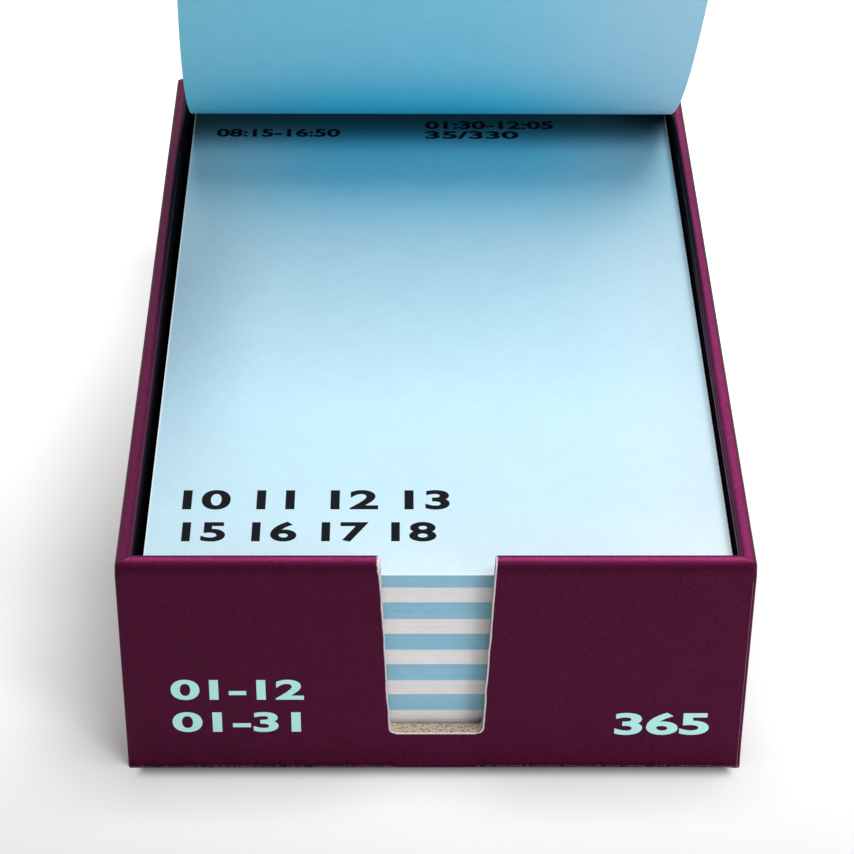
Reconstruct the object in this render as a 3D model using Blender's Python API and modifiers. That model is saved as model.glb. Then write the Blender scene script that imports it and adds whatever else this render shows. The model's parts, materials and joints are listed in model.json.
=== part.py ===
# Page-a-day leaf block in an open-topped rigid box with a thumb notch.
# Metres, +Z up. The origin is the middle of the underside, and the notch is in the front wall, at -Y.

import math

import bmesh
import bpy
from mathutils import Vector

# Box, outside sizes in plan, and the rim's height above the page
BOX_WIDTH = 0.115
BOX_LENGTH = 0.180
HEADROOM = 0.00492

# Boards and papers of the box
BOARD = 0.0019
BOARD_EASE = 0.0004
COVER_PAPER = 0.0002
STAY_TAPE = 0.00015
LINING_PAPER = 0.0002
GLUE_LINE = 0.0001
TURN_IN = 0.014
TURN_UNDER = 0.014
BASE_SHEET_INSET = 0.003
STAY_LEG = 0.018
STAY_END_MARGIN = 0.003
LINING_DROP = 0.0012

# Thumb notch in the front wall
NOTCH_TOP_WIDTH = 0.0208
NOTCH_FLOOR_WIDTH = 0.0172
NOTCH_FLOOR_HEIGHT = 0.0082
NOTCH_CORNER_RADIUS = 0.0016
NOTCH_SHIFT = 0.0003

# Leaf block, which lies loose in the box, nearer to the right wall
FRONT_CLEARANCE = 0.0006
REAR_CLEARANCE = 0.0009
LEFT_CLEARANCE = 0.0013
RIGHT_CLEARANCE = 0.0003
REST_GAP = 0.0001
BACKING_CARD = 0.0005
BINDING_GLUE = 0.0004
BLUE_SECTION = 0.00385
WHITE_SECTION = 0.0035
TOP_SECTION = 0.0028
SECTION_COUNT = 11
SECTION_GAP = 0.00005

# Single leaves on top of the block
LEAF = 0.00013
LEAF_GAP = 0.00015
LEAF_ROOT_GAP = 0.0003
CURL_ROOT_DEG = 15.2
CURL_END_DEG = 85.0
CURL_LENGTH = 0.066
CURL_SKEW_DEG = 3.8
CURL_STEPS = 32

# Facets of the rounded edges
EASE_SEGMENTS = 2
FOLD_SEGMENTS = 3
NOTCH_SEGMENTS = 4
ROUND_PROFILE = 0.5
FOLD_ANGLE = math.radians(45)
FACING_ANGLE = math.radians(25)
EMPTY_SIZE = 0.01

# Depth of each layer behind the outside of a wall
TAPE_FACE = COVER_PAPER + GLUE_LINE
BOARD_FACE = TAPE_FACE + STAY_TAPE + GLUE_LINE
BOARD_BACK = BOARD_FACE + BOARD
TURN_IN_FACE = BOARD_BACK + GLUE_LINE + COVER_PAPER
LINING_FACE = TURN_IN_FACE + GLUE_LINE
WALL = LINING_FACE + LINING_PAPER
FOLD_RADIUS = COVER_PAPER + GLUE_LINE + BOARD_EASE

# Heights of the layers of the base
COVER_BOTTOM = COVER_PAPER + GLUE_LINE
BASE_BOARD_BOTTOM = COVER_BOTTOM + COVER_PAPER + GLUE_LINE
BASE_BOARD_TOP = BASE_BOARD_BOTTOM + BOARD
ON_BASE_BOARD = BASE_BOARD_TOP + GLUE_LINE
BASE_LINING_TOP = ON_BASE_BOARD + LINING_PAPER

# Space that the block takes inside the walls
BLOCK_LEFT = -BOX_WIDTH / 2 + WALL + LEFT_CLEARANCE
BLOCK_RIGHT = BOX_WIDTH / 2 - WALL - RIGHT_CLEARANCE
BLOCK_FRONT = -BOX_LENGTH / 2 + WALL + FRONT_CLEARANCE
GLUE_BACK = BOX_LENGTH / 2 - WALL - REAR_CLEARANCE
BLOCK_REAR = GLUE_BACK - BINDING_GLUE - SECTION_GAP
LEAF_WIDTH = BLOCK_RIGHT - BLOCK_LEFT
LEAF_HINGE_Y = BLOCK_REAR - LEAF_ROOT_GAP
LEAF_LENGTH = LEAF_HINGE_Y - BLOCK_FRONT


def is_blue(number):
    return number % 2 == 1


def section_thickness(number):
    """Sections are counted from the top, where part of the first one has been torn off."""
    if number == 1:
        return TOP_SECTION
    return BLUE_SECTION if is_blue(number) else WHITE_SECTION


# Heights that the stack of leaves sets
SECTION_NUMBERS = range(1, SECTION_COUNT + 1)
BLOCK_BOTTOM = BASE_LINING_TOP + REST_GAP
BLOCK_TOP = BLOCK_BOTTOM + BACKING_CARD + sum(section_thickness(number) for number in SECTION_NUMBERS)
PAGE_TOP = BLOCK_TOP + LEAF
BOX_HEIGHT = PAGE_TOP + HEADROOM
BOARD_TOP = BOX_HEIGHT - COVER_PAPER - GLUE_LINE

for leftover in list(bpy.data.objects):
    bpy.data.objects.remove(leftover, do_unlink=True)


def new_collection(name):
    collection = bpy.data.collections.new(name)
    bpy.context.scene.collection.children.link(collection)
    return collection


PARTS = new_collection("page_a_day_block")
CUTTERS = new_collection("cutters")


def paper_material(name, colour, roughness):
    material = bpy.data.materials.new(name)
    material.use_nodes = True
    shader = material.node_tree.nodes["Principled BSDF"]
    shader.inputs["Base Color"].default_value = (*colour, 1.0)
    shader.inputs["Roughness"].default_value = roughness
    shader.inputs["Metallic"].default_value = 0.0
    return material


PLUM_PAPER = paper_material("plum_cover_paper", (0.062, 0.0055, 0.024), 0.42)
BLACK_PAPER = paper_material("black_lining_paper", (0.008, 0.008, 0.010), 0.55)
GREYBOARD = paper_material("greyboard", (0.36, 0.29, 0.20), 0.90)
KRAFT_TAPE = paper_material("kraft_stay_tape", (0.42, 0.25, 0.12), 0.75)
BLUE_PAPER = paper_material("blue_leaf_paper", (0.42, 0.72, 0.86), 0.80)
WHITE_PAPER = paper_material("white_leaf_paper", (0.80, 0.79, 0.80), 0.80)
PADDING_GLUE = paper_material("padding_glue", (0.74, 0.72, 0.64), 0.45)


def new_empty(name, place, parent=None):
    empty = bpy.data.objects.new(name, None)
    empty.empty_display_size = EMPTY_SIZE
    put_at(empty, place, parent)
    PARTS.objects.link(empty)
    return empty


def put_at(piece, place, parent):
    piece.parent = parent
    piece.location = Vector(place)
    ancestor = parent
    while ancestor is not None:
        piece.location -= ancestor.location
        ancestor = ancestor.parent


def new_piece(name, shape, material, place, parent=None):
    mesh = bpy.data.meshes.new(name)
    shape.to_mesh(mesh)
    shape.free()
    mesh.materials.append(material)
    piece = bpy.data.objects.new(name, mesh)
    put_at(piece, place, parent)
    PARTS.objects.link(piece)
    return piece


def block_shape(size):
    shape = bmesh.new()
    bmesh.ops.create_cube(shape, size=1.0)
    bmesh.ops.scale(shape, vec=size, verts=shape.verts)
    return shape


def sheet_piece(name, low, high, material, parent=None):
    low = Vector(low)
    high = Vector(high)
    return new_piece(name, block_shape(high - low), material, (low + high) / 2, parent)


def faces_towards(shape, direction):
    return [face for face in shape.faces if face.normal.angle(Vector(direction)) < FACING_ANGLE]


def round_edges(shape, edges, radius, segments):
    bmesh.ops.bevel(shape, geom=edges, offset=radius, offset_type="OFFSET", segments=segments,
                    profile=ROUND_PROFILE, affect="EDGES", clamp_overlap=True)


def thicken(piece, thickness, offset):
    solidify = piece.modifiers.new("paper_thickness", "SOLIDIFY")
    solidify.thickness = thickness
    solidify.offset = offset
    solidify.use_even_offset = True


def cut(piece, cutter):
    boolean = piece.modifiers.new("cut_" + cutter.name, "BOOLEAN")
    boolean.operation = "DIFFERENCE"
    boolean.solver = "EXACT"
    boolean.object = cutter


def notch_cutter():
    """A tapered slot from the notch's floor to above the rim, right through the front wall."""
    overshoot = WALL
    top = BOX_HEIGHT + overshoot
    height = top - NOTCH_FLOOR_HEIGHT
    taper = (NOTCH_TOP_WIDTH - NOTCH_FLOOR_WIDTH) / (BOX_HEIGHT - NOTCH_FLOOR_HEIGHT)
    top_width = NOTCH_FLOOR_WIDTH + taper * height
    shape = block_shape((top_width, WALL + 2 * overshoot, height))
    floor = [vert for vert in shape.verts if vert.co.z < 0]
    bmesh.ops.scale(shape, vec=(NOTCH_FLOOR_WIDTH / top_width, 1.0, 1.0), verts=floor)
    shape.normal_update()
    floor_face = faces_towards(shape, (0, 0, -1))[0]
    corners = [edge for edge in floor_face.edges if abs(edge.verts[0].co.x - edge.verts[1].co.x) < GLUE_LINE]
    round_edges(shape, corners, NOTCH_CORNER_RADIUS, NOTCH_SEGMENTS)
    mesh = bpy.data.meshes.new("notch_cutter")
    shape.to_mesh(mesh)
    shape.free()
    cutter = bpy.data.objects.new("notch_cutter", mesh)
    cutter.location = (NOTCH_SHIFT, -BOX_LENGTH / 2 + WALL / 2, NOTCH_FLOOR_HEIGHT + height / 2)
    cutter.hide_render = True
    cutter.display_type = "WIRE"
    CUTTERS.objects.link(cutter)
    return cutter


def eased_board(name, low, high):
    board = sheet_piece(name, low, high, GREYBOARD)
    ease = board.modifiers.new("eased_edges", "BEVEL")
    ease.width = BOARD_EASE
    ease.segments = EASE_SEGMENTS
    ease.limit_method = "NONE"
    return board


def make_boards(cutter):
    half_width = BOX_WIDTH / 2 - BOARD_FACE
    half_length = BOX_LENGTH / 2 - BOARD_FACE
    inner_length = half_length - BOARD
    eased_board("base_board", (-half_width, -half_length, BASE_BOARD_BOTTOM),
                (half_width, half_length, BASE_BOARD_TOP))
    front = eased_board("front_board", (-half_width, -half_length, ON_BASE_BOARD),
                        (half_width, -inner_length, BOARD_TOP))
    cut(front, cutter)
    eased_board("rear_board", (-half_width, inner_length, ON_BASE_BOARD),
                (half_width, half_length, BOARD_TOP))
    for name, near, far in (("left_board", -half_width, -half_width + BOARD),
                            ("right_board", half_width - BOARD, half_width)):
        eased_board(name, (near, -inner_length + GLUE_LINE, ON_BASE_BOARD),
                    (far, inner_length - GLUE_LINE, BOARD_TOP))


def make_corner_stays():
    """One strip of tape bent round each upright corner, modelled once for the front left corner."""
    bottom = ON_BASE_BOARD + STAY_END_MARGIN
    height = BOARD_TOP - STAY_END_MARGIN - bottom
    corners = (("front_left", -1, -1), ("front_right", 1, -1), ("rear_right", 1, 1), ("rear_left", -1, 1))
    for quarter_turns, (name, side_x, side_y) in enumerate(corners):
        shape = block_shape((STAY_LEG, STAY_LEG, height))
        bmesh.ops.translate(shape, vec=(STAY_LEG / 2, STAY_LEG / 2, height / 2), verts=shape.verts)
        outside = faces_towards(shape, (-1, 0, 0)) + faces_towards(shape, (0, -1, 0))
        bmesh.ops.delete(shape, geom=[face for face in shape.faces if face not in outside], context="FACES")
        bend = [edge for edge in shape.edges if len(edge.link_faces) == 2]
        round_edges(shape, bend, STAY_TAPE + GLUE_LINE + BOARD_EASE, FOLD_SEGMENTS)
        place = (side_x * (BOX_WIDTH / 2 - TAPE_FACE), side_y * (BOX_LENGTH / 2 - TAPE_FACE), bottom)
        stay = new_piece("corner_stay_" + name, shape, KRAFT_TAPE, place)
        stay.rotation_euler = (0, 0, quarter_turns * math.pi / 2)
        thicken(stay, STAY_TAPE, -1.0)


def make_cover_paper(cutter):
    """The outside of the folded paper as an open surface, thickened towards the boards."""
    height = BOX_HEIGHT - COVER_BOTTOM
    shape = block_shape((BOX_WIDTH, BOX_LENGTH, height))
    rim = faces_towards(shape, (0, 0, 1))
    bmesh.ops.inset_region(shape, faces=rim, thickness=TURN_IN_FACE, use_even_offset=True)
    pushed_in = bmesh.ops.extrude_face_region(shape, geom=rim)
    lowered = [item for item in pushed_in["geom"] if isinstance(item, bmesh.types.BMVert)]
    bmesh.ops.translate(shape, vec=(0, 0, -TURN_IN), verts=lowered)
    bmesh.ops.delete(shape, geom=[face for face in shape.faces if all(v in lowered for v in face.verts)],
                     context="FACES_ONLY")
    bmesh.ops.delete(shape, geom=[face for face in rim if face.is_valid], context="FACES_ONLY")
    underside = faces_towards(shape, (0, 0, -1))
    bmesh.ops.inset_region(shape, faces=underside, thickness=TURN_UNDER, use_even_offset=True)
    bmesh.ops.delete(shape, geom=underside, context="FACES_ONLY")
    shape.normal_update()
    folds = [edge for edge in shape.edges if len(edge.link_faces) == 2 and edge.is_convex
             and edge.calc_face_angle() > FOLD_ANGLE]
    round_edges(shape, folds, FOLD_RADIUS, FOLD_SEGMENTS)
    cover = new_piece("cover_paper", shape, PLUM_PAPER, (0, 0, COVER_BOTTOM + height / 2))
    thicken(cover, COVER_PAPER, -1.0)
    cut(cover, cutter)


def make_linings(cutter):
    width = BOX_WIDTH - 2 * LINING_FACE
    length = BOX_LENGTH - 2 * LINING_FACE
    top = BOX_HEIGHT - LINING_DROP
    shape = block_shape((width, length, top - ON_BASE_BOARD))
    ends = faces_towards(shape, (0, 0, 1)) + faces_towards(shape, (0, 0, -1))
    bmesh.ops.delete(shape, geom=ends, context="FACES_ONLY")
    lining = new_piece("wall_lining", shape, BLACK_PAPER, (0, 0, (top + ON_BASE_BOARD) / 2))
    thicken(lining, LINING_PAPER, -1.0)
    cut(lining, cutter)
    half_width = BOX_WIDTH / 2 - WALL - GLUE_LINE
    half_length = BOX_LENGTH / 2 - WALL - GLUE_LINE
    sheet_piece("base_lining", (-half_width, -half_length, ON_BASE_BOARD),
                (half_width, half_length, BASE_LINING_TOP), BLACK_PAPER)


def make_base_sheet():
    half_width = BOX_WIDTH / 2 - BASE_SHEET_INSET
    half_length = BOX_LENGTH / 2 - BASE_SHEET_INSET
    sheet_piece("base_sheet", (-half_width, -half_length, 0.0), (half_width, half_length, COVER_PAPER),
                PLUM_PAPER)


def make_block(lift):
    """Backing card, then the sections from the bottom up, blue and white by turns."""
    height = BLOCK_BOTTOM
    sheet_piece("backing_card", (BLOCK_LEFT, BLOCK_FRONT, height),
                (BLOCK_RIGHT, BLOCK_REAR, height + BACKING_CARD - SECTION_GAP), GREYBOARD, lift)
    height += BACKING_CARD
    for number in reversed(SECTION_NUMBERS):
        name = f"leaf_section_{number:02d}_" + ("blue" if is_blue(number) else "white")
        top = height + section_thickness(number)
        sheet_piece(name, (BLOCK_LEFT, BLOCK_FRONT, height), (BLOCK_RIGHT, BLOCK_REAR, top - SECTION_GAP),
                    BLUE_PAPER if is_blue(number) else WHITE_PAPER, lift)
        height = top
    sheet_piece("binding_glue", (BLOCK_LEFT, BLOCK_REAR + SECTION_GAP, BLOCK_BOTTOM),
                (BLOCK_RIGHT, GLUE_BACK, BLOCK_TOP), PADDING_GLUE, lift)


def curl_profile():
    """Steps along the leaf from its glued edge: distance forward, height, and distance along the sheet.

    The slope rises from CURL_ROOT_DEG towards CURL_END_DEG, by the same share in each CURL_LENGTH.
    """
    step = LEAF_LENGTH / CURL_STEPS
    profile = [(0.0, 0.0, 0.0)]
    for index in range(CURL_STEPS):
        forward, height, along = profile[-1]
        middle = along + step / 2
        share = math.exp(-middle / CURL_LENGTH)
        slope = math.radians(CURL_END_DEG - (CURL_END_DEG - CURL_ROOT_DEG) * share)
        profile.append((forward + step * math.cos(slope), height + step * math.sin(slope), along + step))
    return profile


def make_lifted_leaf(hinge):
    """A flat grid, laid along the curl and drawn sideways as the leaf is lifted askew."""
    shape = bmesh.new()
    bmesh.ops.create_grid(shape, x_segments=1, y_segments=CURL_STEPS, size=0.5)
    profile = curl_profile()
    skew = math.sin(math.radians(CURL_SKEW_DEG))
    for vert in shape.verts:
        forward, height, along = profile[round((0.5 - vert.co.y) * CURL_STEPS)]
        sideways = skew * (along - forward)
        vert.co = Vector((vert.co.x * LEAF_WIDTH + sideways, -forward, height))
    for face in shape.faces:
        face.smooth = True
    place = ((BLOCK_LEFT + BLOCK_RIGHT) / 2, LEAF_HINGE_Y, PAGE_TOP + LEAF_GAP)
    leaf = new_piece("lifted_leaf", shape, BLUE_PAPER, place, hinge)
    thicken(leaf, LEAF, 1.0)


def main():
    cutter = notch_cutter()
    make_boards(cutter)
    make_corner_stays()
    make_cover_paper(cutter)
    make_linings(cutter)
    make_base_sheet()
    lift = new_empty("block_lift", (0, 0, BLOCK_BOTTOM))
    make_block(lift)
    current_hinge = new_empty("current_leaf_hinge", (0, LEAF_HINGE_Y, BLOCK_TOP), lift)
    sheet_piece("current_leaf", (BLOCK_LEFT, BLOCK_FRONT, BLOCK_TOP),
                (BLOCK_RIGHT, LEAF_HINGE_Y, PAGE_TOP), BLUE_PAPER, current_hinge)
    lifted_hinge = new_empty("lifted_leaf_hinge", (0, LEAF_HINGE_Y, PAGE_TOP + LEAF_GAP), current_hinge)
    make_lifted_leaf(lifted_hinge)


main()
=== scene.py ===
import json
import math

import bmesh
import bpy
import numpy as np
from mathutils import Matrix, Vector


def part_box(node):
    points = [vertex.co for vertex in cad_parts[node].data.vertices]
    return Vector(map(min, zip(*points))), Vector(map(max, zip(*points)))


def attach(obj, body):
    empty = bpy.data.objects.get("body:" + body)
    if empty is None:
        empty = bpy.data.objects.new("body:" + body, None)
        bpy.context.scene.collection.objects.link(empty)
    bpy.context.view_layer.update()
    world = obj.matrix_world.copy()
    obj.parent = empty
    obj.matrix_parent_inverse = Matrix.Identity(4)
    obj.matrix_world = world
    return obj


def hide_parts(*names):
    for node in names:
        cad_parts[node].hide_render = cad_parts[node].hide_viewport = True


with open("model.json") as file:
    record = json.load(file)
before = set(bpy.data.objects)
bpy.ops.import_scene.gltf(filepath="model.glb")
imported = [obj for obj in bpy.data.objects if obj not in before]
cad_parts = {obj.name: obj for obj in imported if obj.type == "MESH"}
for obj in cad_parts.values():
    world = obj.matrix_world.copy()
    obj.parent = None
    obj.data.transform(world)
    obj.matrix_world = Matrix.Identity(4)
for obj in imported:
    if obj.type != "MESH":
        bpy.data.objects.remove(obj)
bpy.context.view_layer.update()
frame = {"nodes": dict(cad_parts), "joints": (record.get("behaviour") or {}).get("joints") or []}        # a page-a-day leaf block in its open-topped box
mm = 0.001
chance = np.random.default_rng(31)


def addObject(name, data):
    made = bpy.data.objects.new(name, data)
    bpy.context.scene.collection.objects.link(made)
    return made


# Camera: stands before the box, looks down at it
view = {
    "place": (-0.006750, -0.484732, 0.362758),
    "down": 35.746,          # degrees below the horizon
    "turn": -0.7106,         # degrees about the upright
    "roll": 0.4302,
    "lens": 119.211,
    "sensor": 36.0,
}


def addCamera():
    data = bpy.data.cameras.new("photoCamera")
    data.lens = view["lens"]
    data.sensor_width = view["sensor"]
    camera = addObject("photoCamera", data)
    turn = Matrix.Rotation(math.radians(view["turn"]), 4, "Z")
    tilt = Matrix.Rotation(math.radians(90 - view["down"]), 4, "X")
    roll = Matrix.Rotation(math.radians(view["roll"]), 4, "Z")
    camera.matrix_world = Matrix.Translation(view["place"]) @ turn @ tilt @ roll
    bpy.context.scene.camera = camera


addCamera()
print("camera set")


# Mesh helpers
def quads(rows, columns, start=0):  # faces between neighbouring points of a grid
    index = start + np.arange(rows * columns).reshape(rows, columns)
    corners = (index[:-1, :-1], index[:-1, 1:], index[1:, 1:], index[1:, :-1])
    return np.stack(corners, -1).reshape(-1, 4).tolist()


def ringQuads(rows, columns):  # the same, with the last column joined to the first
    index = np.arange(rows * columns).reshape(rows, columns)
    after = np.roll(index, -1, axis=1)
    return np.stack((index[:-1], after[:-1], after[1:], index[1:]), -1).reshape(-1, 4).tolist()


def newMesh(name, points, faces, traits=None):  # traits are per-point values that the materials read
    mesh = bpy.data.meshes.new(name)
    mesh.from_pydata(np.asarray(points).reshape(-1, 3).tolist(), [], faces)
    for label, values in (traits or {}).items():
        mesh.attributes.new(label, "FLOAT", "POINT").data.foreach_set("value", np.ravel(values))
    mesh.update()
    return mesh


def tidyMesh(mesh, outward=False):  # close the seams, and turn a closed shape's faces out
    shape = bmesh.new()
    shape.from_mesh(mesh)
    bmesh.ops.remove_doubles(shape, verts=shape.verts, dist=1e-7)
    if outward:
        bmesh.ops.recalc_face_normals(shape, faces=shape.faces)
    shape.to_mesh(mesh)
    shape.free()


def bakedMesh(made):  # an object's modifiers or text made real
    return bpy.data.meshes.new_from_object(made.evaluated_get(bpy.context.evaluated_depsgraph_get()))


def addPiece(name, mesh, materials, body, standsFor=(), thick=0.0, sharp=35, folded=True):
    for material in materials:
        mesh.materials.append(material)
    made = addObject(name, mesh)
    if thick:  # the drawn surface is the outer side; the last material goes on the cut edges
        wall = made.modifiers.new("thickness", "SOLIDIFY")
        wall.thickness = thick
        wall.offset = -1
        wall.use_even_offset = folded
        wall.material_offset = max(len(materials) - 2, 0)
        wall.material_offset_rim = len(materials) - 1
        made.data = bakedMesh(made)
        made.modifiers.clear()
    made.data.polygons.foreach_set("use_smooth", np.ones(len(made.data.polygons), bool))
    made.data.set_sharp_from_angle(angle=math.radians(sharp))
    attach(made, body)
    if standsFor:
        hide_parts(*standsFor)
    return made


def smoothStep(value, low, high):  # 0 below low, 1 above high, an S between
    share = np.clip((value - low) / (high - low), 0, 1)
    return share * share * (3 - 2 * share)


def fade(value, low, high):  # the other way round, 1 below low
    return 1 - smoothStep(value, low, high)


def swell(waves, *place):  # mean of sines; a wave is its radians per metre in each direction, and its start
    phases = [sum(rate * way for rate, way in zip(wave, place)) + wave[-1] for wave in waves]
    return sum(np.sin(phase) for phase in phases) / len(waves)


def smoothChance(count, span):  # random values from -1 to 1, evened out over span neighbours
    rough = chance.standard_normal(count + 2 * span)
    window = np.hanning(2 * span + 1)
    even = np.convolve(rough, window / np.sqrt((window ** 2).sum()), "same")[span:span + count]
    return np.clip(even / 2, -1, 1)


# Node helpers
def addNode(tree, kind, inputs=None, **settings):
    made = tree.nodes.new(kind)
    for label, value in settings.items():
        setattr(made, label, value)
    for label, value in (inputs or {}).items():
        if isinstance(value, bpy.types.NodeSocket):
            tree.links.new(value, made.inputs[label])
        else:
            made.inputs[label].default_value = value
    return made


def maths(tree, operation, *values):
    inputs = dict(enumerate(values))
    return addNode(tree, "ShaderNodeMath", inputs, operation=operation).outputs[0]


def mixColour(tree, factor, first, second, blend="MIX"):
    inputs = {0: factor, 6: first, 7: second}
    return addNode(tree, "ShaderNodeMix", inputs, data_type="RGBA", blend_type=blend).outputs[2]


def spread(tree, value, low, high, toLow=0.0, toHigh=1.0):  # smooth step from low to high
    inputs = {"Value": value, "From Min": low, "From Max": high, "To Min": toLow, "To Max": toHigh}
    return addNode(tree, "ShaderNodeMapRange", inputs, interpolation_type="SMOOTHSTEP").outputs[0]


def noise(tree, place, scale, detail, roughness, distortion=0.0):
    inputs = {"Vector": place, "Scale": scale, "Detail": detail, "Roughness": roughness,
              "Distortion": distortion}
    return addNode(tree, "ShaderNodeTexNoise", inputs).outputs[0]


def newGroup(name, takes, gives):  # a shared effect: takes a place and named values, and gives others
    tree = bpy.data.node_groups.new(name, "ShaderNodeTree")
    tree.interface.new_socket("Vector", in_out="INPUT", socket_type="NodeSocketVector")
    for way, labels in (("INPUT", takes), ("OUTPUT", gives)):
        for label in labels:
            tree.interface.new_socket(label, in_out=way, socket_type="NodeSocketFloat")
    return tree, tree.nodes.new("NodeGroupInput").outputs, tree.nodes.new("NodeGroupOutput").inputs


def placeGroup(tree, group, **values):
    return addNode(tree, "ShaderNodeGroup", values, node_tree=group).outputs


def makeGrainGroup():  # paper: fine fibre over a slow cloud, Tone about 1 and Height about 0.5
    tree, takes, gives = newGroup("paperGrain", ("Scale", "Fibre", "Cloud"), ("Tone", "Height"))
    fibre = noise(tree, takes["Vector"], takes["Scale"], detail=4.0, roughness=0.6, distortion=1.2)
    slow = maths(tree, "MULTIPLY", takes["Scale"], 0.085)      # the cloud is twelve times as wide
    cloud = noise(tree, takes["Vector"], slow, detail=3.0, roughness=0.55)
    fine = maths(tree, "MULTIPLY", maths(tree, "SUBTRACT", fibre, 0.5), takes["Fibre"])
    broad = maths(tree, "MULTIPLY", maths(tree, "SUBTRACT", cloud, 0.5), takes["Cloud"])
    tree.links.new(maths(tree, "ADD", maths(tree, "ADD", fine, broad), 1.0), gives["Tone"])
    height = maths(tree, "ADD", maths(tree, "MULTIPLY", fibre, 0.7), maths(tree, "MULTIPLY", cloud, 0.3))
    tree.links.new(height, gives["Height"])
    return tree


def makeScuffGroup():  # wear: patches of noise that grow with the trait of a fold or an edge
    tree, takes, gives = newGroup("foldScuff", ("Fold", "Scale", "Amount"), ("Mask",))
    patch = noise(tree, takes["Vector"], takes["Scale"], detail=5.0, roughness=0.7)
    reach = maths(tree, "MULTIPLY", takes["Fold"], takes["Amount"])
    high = maths(tree, "SUBTRACT", 1.0, reach)
    low = maths(tree, "SUBTRACT", high, 0.25)
    tree.links.new(maths(tree, "MULTIPLY", spread(tree, patch, low, high), reach), gives["Mask"])
    return tree


def makeFleckGroup():  # specks: the cells of a Voronoi pattern that win a draw, cut down to dots
    tree, takes, gives = newGroup("flecks", ("Scale", "Share", "Size"), ("Mask",))
    cell = addNode(tree, "ShaderNodeTexVoronoi", {
        "Vector": takes["Vector"], "Scale": takes["Scale"], "Randomness": 1.0})
    draw = addNode(tree, "ShaderNodeSeparateColor", {"Color": cell.outputs["Color"]}).outputs[0]
    wins = maths(tree, "LESS_THAN", draw, takes["Share"])
    soft = maths(tree, "MULTIPLY", takes["Size"], 0.5)
    dot = spread(tree, cell.outputs["Distance"], soft, takes["Size"], 1.0, 0.0)
    tree.links.new(maths(tree, "MULTIPLY", wins, dot), gives["Mask"])
    return tree


grainGroup = makeGrainGroup()
scuffGroup = makeScuffGroup()
fleckGroup = makeFleckGroup()


def startMaterial(name, roughness, shine):  # a Principled shader with its constants, and Object coordinates
    material = bpy.data.materials.new(name)
    material.use_nodes = True
    tree = material.node_tree
    shader = tree.nodes["Principled BSDF"]
    shader.inputs["Roughness"].default_value = roughness
    shader.inputs["Specular IOR Level"].default_value = shine
    place = addNode(tree, "ShaderNodeTexCoord").outputs["Object"]
    return material, tree, shader, place


def trait(tree, label):
    return addNode(tree, "ShaderNodeAttribute", attribute_name=label).outputs["Fac"]


def tinted(tree, colour, tone):  # a colour made lighter or darker by a tone about 1
    grey = addNode(tree, "ShaderNodeCombineColor", {0: tone, 1: tone, 2: tone}).outputs[0]
    return mixColour(tree, 1.0, colour, grey, "MULTIPLY")


def joinShader(tree, shader, colour, height=None, bump=0.2, reach=0.05 * mm):
    tree.links.new(colour, shader.inputs["Base Color"])
    if height is not None:
        relief = addNode(tree, "ShaderNodeBump", {"Height": height, "Strength": bump, "Distance": reach})
        tree.links.new(relief.outputs[0], shader.inputs["Normal"])


# Finishes that several pieces share
finish = {
    "plum": (0.066, 0.0052, 0.027, 1),
    # painted highlight along the rim
    "plumRimHighlight": (0.38, 0.036, 0.172, 1),
    "plumScuff": (0.42, 0.16, 0.28, 1),
    "plumShine": (1.0, 0.12, 0.45, 1),
    "lapEdge": (0.36, 0.17, 0.25, 1),
    "blue": (0.59, 0.83, 0.94, 1),
    "blueUnderShade": (0.20, 0.77, 0.96, 1),      # painted shade, deeper where the lifted leaf hangs over the page
    # painted shadow at the glued edge, in the wedge under the lifted leaf
    "blueGlueShadow": (0.02, 0.12, 0.16, 1),
    "blueLeftShade": (0.37, 0.55, 0.66, 1),        # and painted shade, dimmer along the page's left
    # a shaded copy of the page's blue, for the lifted leaf's back
    "blueShadedBack": (0.26, 0.69, 0.88, 1),
    "blueBackRootShade": (0.07, 0.62, 0.86, 1),   # painted shade, deeper low down on its own back
    "blueBackLitRight": (0.41, 0.71, 0.88, 1),   # painted light, paler to the right
    "blueEdge": (0.315, 0.61, 0.78, 1),
    # the pale cut edge; on the page also painted light towards its front and right
    "blueCut": (0.96, 0.98, 1.0, 1),
    "whiteEdge": (0.91, 0.885, 0.91, 1),
    "rawPaper": (0.97, 0.92, 0.92, 1),
    "black": (0.005, 0.005, 0.007, 1),
    "blackCut": (0.13, 0.075, 0.13, 1),
    # painted shade, nearly black
    "foldShade": (0.002, 0.001, 0.0015, 1),
    "board": (0.62, 0.50, 0.37, 1),
    "boardDark": (0.16, 0.11, 0.08, 1),
    "boardLight": (0.82, 0.78, 0.68, 1),
    "tape": (0.42, 0.25, 0.12, 1),
    "glue": (0.74, 0.72, 0.64, 1),
    "mint": (0.54, 1.0, 0.97, 1),
    "ink": (0.006, 0.006, 0.008, 1),
}


# Grain of each finish: how fine it is, and how much fibre and cloud it shows
grains = {
    "plum": {"Scale": 1700.0, "Fibre": 1.7, "Cloud": 0.3},
    "pulp": {"Scale": 2000.0, "Fibre": 1.7, "Cloud": 0.4},
    "lining": {"Scale": 4200.0, "Fibre": 0.5, "Cloud": 0.25},
    "tape": {"Scale": 2600.0, "Fibre": 0.4, "Cloud": 0.2},
    "leaf": {"Scale": 2600.0, "Fibre": 0.30, "Cloud": 0.08},
    "edge": {"Scale": 4200.0, "Fibre": 0.34, "Cloud": 0.12},
    "raw": {"Scale": 5000.0, "Fibre": 0.5, "Cloud": 0.2},
    "ink": {"Scale": 4000.0, "Fibre": 0.16, "Cloud": 0.10},
    "glue": {"Scale": 900.0, "Fibre": 0.25, "Cloud": 0.15},
    "floor": {"Scale": 40.0, "Fibre": 0.004, "Cloud": 0.006},
}


def grainOf(tree, place, kind):
    return placeGroup(tree, grainGroup, Vector=place, **grains[kind])


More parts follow.
